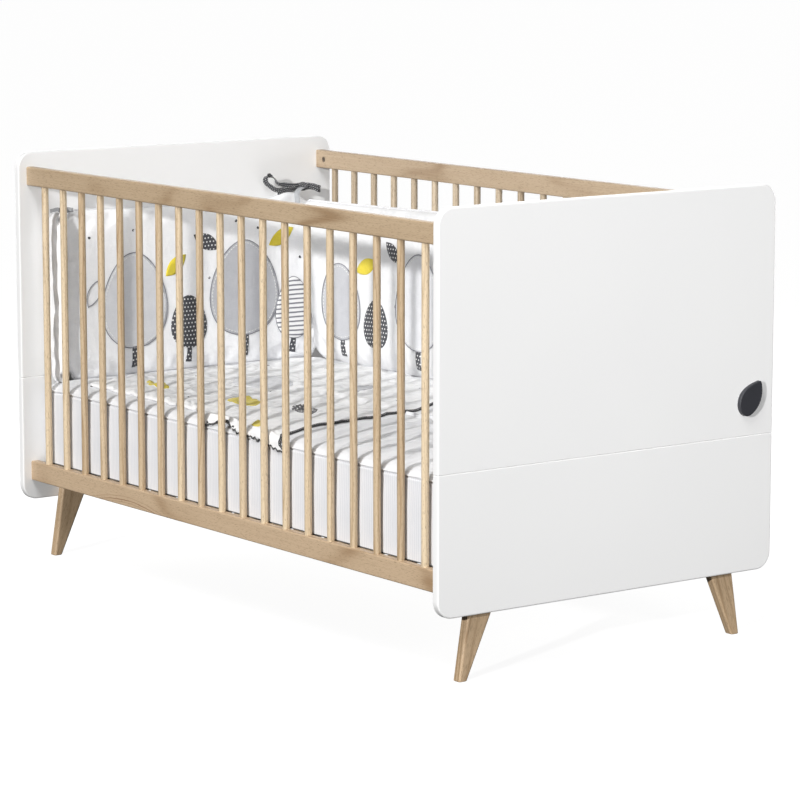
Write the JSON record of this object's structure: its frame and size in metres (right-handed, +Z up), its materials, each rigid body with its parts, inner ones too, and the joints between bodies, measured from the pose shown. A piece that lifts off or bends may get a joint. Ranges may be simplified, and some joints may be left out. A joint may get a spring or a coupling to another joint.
{
  "type": "baby crib",
  "caption": "Baby crib with rounded white two-piece ends, barred beech sides, splayed tapered legs, slatted base, mattress, padded bumper and quilt.",
  "frame": {"origin": "on the floor, under the middle of the crib", "axes": "+X along the crib to the foot end, -Y to the front side, +Z up"},
  "size_m": [1.444, 0.776, 0.839],
  "materials": {
    "white_lacquer": "white satin lacquer on board",
    "beech": "matt clear lacquer on solid beech",
    "plain_wood": "unfinished planed wood",
    "charcoal_plastic": "matt charcoal",
    "zinc_steel": "zinc plated",
    "dark_zinc": "dark plated",
    "foam": "cut foam",
    "white_knit": "finely ribbed white knit",
    "printed_cotton": "white cotton with grey and yellow patches",
    "dotted_ribbon": "charcoal cotton with white dots"
  },
  "bodies": {
    "frame": {"head_upper_board": "white_lacquer", "head_lower_board": "white_lacquer", "foot_upper_board": "white_lacquer", "foot_lower_board": "white_lacquer", "front_top_rail": "beech", "front_bottom_rail": "beech", "back_top_rail": "beech", "back_bottom_rail": "beech", "front_bars": "beech", "back_bars": "beech", "head_front_leg": "beech", "head_back_leg": "beech", "foot_front_leg": "beech", "foot_back_leg": "beech", "drop_knob": "charcoal_plastic", "knob_screw": "zinc_steel", "cam_nuts": "dark_zinc", "cam_pins": "zinc_steel", "rail_dowels": "plain_wood", "seam_dowels": "plain_wood", "joining_plates": "zinc_steel", "plate_screws": "zinc_steel", "leg_bolts": "zinc_steel", "leg_inserts": "zinc_steel", "base_inserts": "zinc_steel", "bracket_bolts": "zinc_steel", "base_brackets": "zinc_steel"},
    "base": {"base_front_rail": "plain_wood", "base_back_rail": "plain_wood", "base_head_rail": "plain_wood", "base_foot_rail": "plain_wood", "base_centre_rail": "plain_wood", "base_slats": "plain_wood", "slat_screws": "zinc_steel", "base_corner_screws": "zinc_steel"},
    "mattress": {"mattress_core": "foam", "mattress_cover": "white_knit"},
    "quilt": {"quilt": "printed_cotton"},
    "bumper": {"bumper_head": "printed_cotton", "bumper_back": "printed_cotton", "bumper_front": "printed_cotton", "bumper_ties": "dotted_ribbon"}
  },
  "joints": [
    {"name": "base_lift", "type": "slide", "parent": "frame", "child": "base", "axis": [0, 0, 1], "range_m": [0, 0.25]},
    {"name": "mattress_lift", "type": "slide", "parent": "base", "child": "mattress", "axis": [0, 0, 1], "range_m": [0, 0.15]},
    {"name": "quilt_lift", "type": "slide", "parent": "mattress", "child": "quilt", "axis": [0, 0, 1], "range_m": [0, 0.12]},
    {"name": "bumper_lift", "type": "slide", "parent": "mattress", "child": "bumper", "axis": [0, 0, 1], "range_m": [0, 0.12]}
  ]
}
